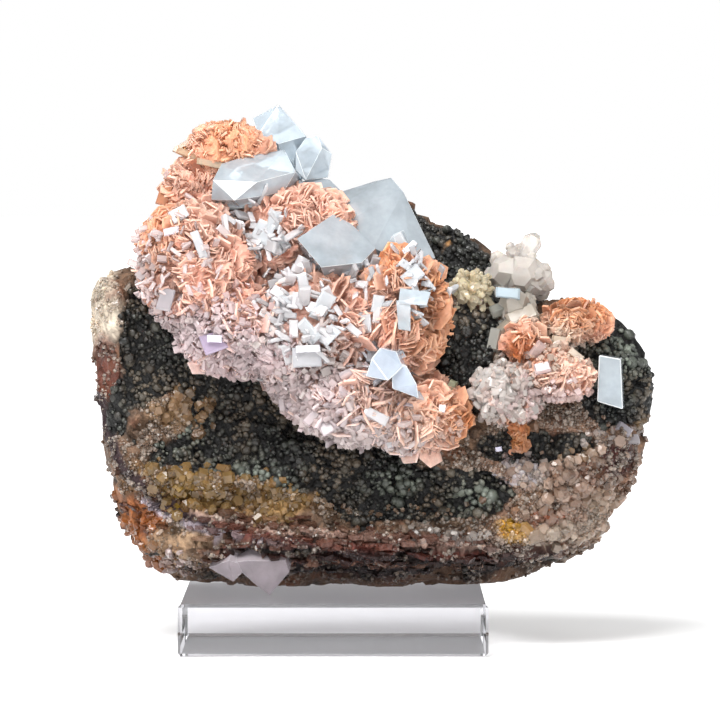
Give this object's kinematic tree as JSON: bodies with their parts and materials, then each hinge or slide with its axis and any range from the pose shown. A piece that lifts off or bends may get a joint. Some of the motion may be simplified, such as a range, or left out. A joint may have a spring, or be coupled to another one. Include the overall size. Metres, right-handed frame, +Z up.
{
  "type": "barite specimen",
  "caption": "Clear blue-grey barite crystals and peach bladed mounds on dark crusted quartz rock, resting on a clear acrylic display block",
  "frame": {"origin": "centre of the display block's underside", "axes": "+Z up, +X to the right and -Y towards the viewer of the crystals' front"},
  "size_m": [0.1428, 0.0765, 0.1355],
  "materials": {
    "display_block": "polished clear acrylic",
    "matrix_rock": "rough banded rock with a black botryoidal crust",
    "peach_blades": "thin pearly peach blades",
    "clear_barite": "clear pale blue crystal with flat bright faces",
    "cream_quartz": "translucent cream crystal"
  },
  "bodies": {
    "root": {"display_block": "display_block", "matrix_rock": "matrix_rock", "peach_mound": "peach_blades", "right_mound": "peach_blades", "barite_crystals": "clear_barite", "blue_tab": "clear_barite", "upper_tabs": "clear_barite", "right_tab": "clear_barite", "hanging_crystals": "clear_barite", "quartz_cluster": "cream_quartz", "quartz_rosette": "cream_quartz", "quartz_step": "cream_quartz", "quartz_right": "cream_quartz"}
  },
  "joints": []
}
